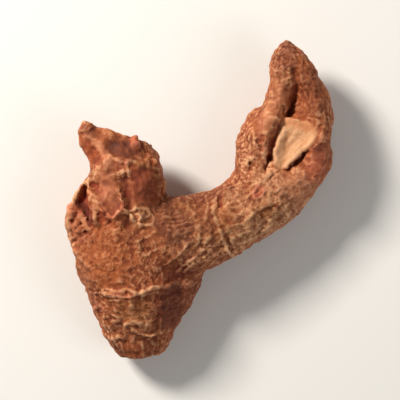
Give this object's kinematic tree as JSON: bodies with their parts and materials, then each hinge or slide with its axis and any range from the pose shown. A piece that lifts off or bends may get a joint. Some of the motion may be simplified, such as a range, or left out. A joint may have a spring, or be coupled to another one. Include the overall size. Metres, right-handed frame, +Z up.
{
  "type": "galangal root",
  "caption": "Dried branched galangal rhizome: a thick stem with a broken crown and a blunt stub, and a bent arm that ends in a split cut face.",
  "frame": {"origin": "on the ground under the middle of the bounding box, with the piece lying as it does in the picture", "axes": "+Z up from the surface it lies on, +Y from the blunt stub towards the broken crown and the arm's tip, +X from the stem towards the arm"},
  "size_m": [0.051, 0.0602, 0.0177],
  "materials": {
    "skin": "dry, wrinkled, reddish-brown skin with a pale inner flap"
  },
  "bodies": {
    "root": {"rhizome": "skin"}
  },
  "joints": []
}
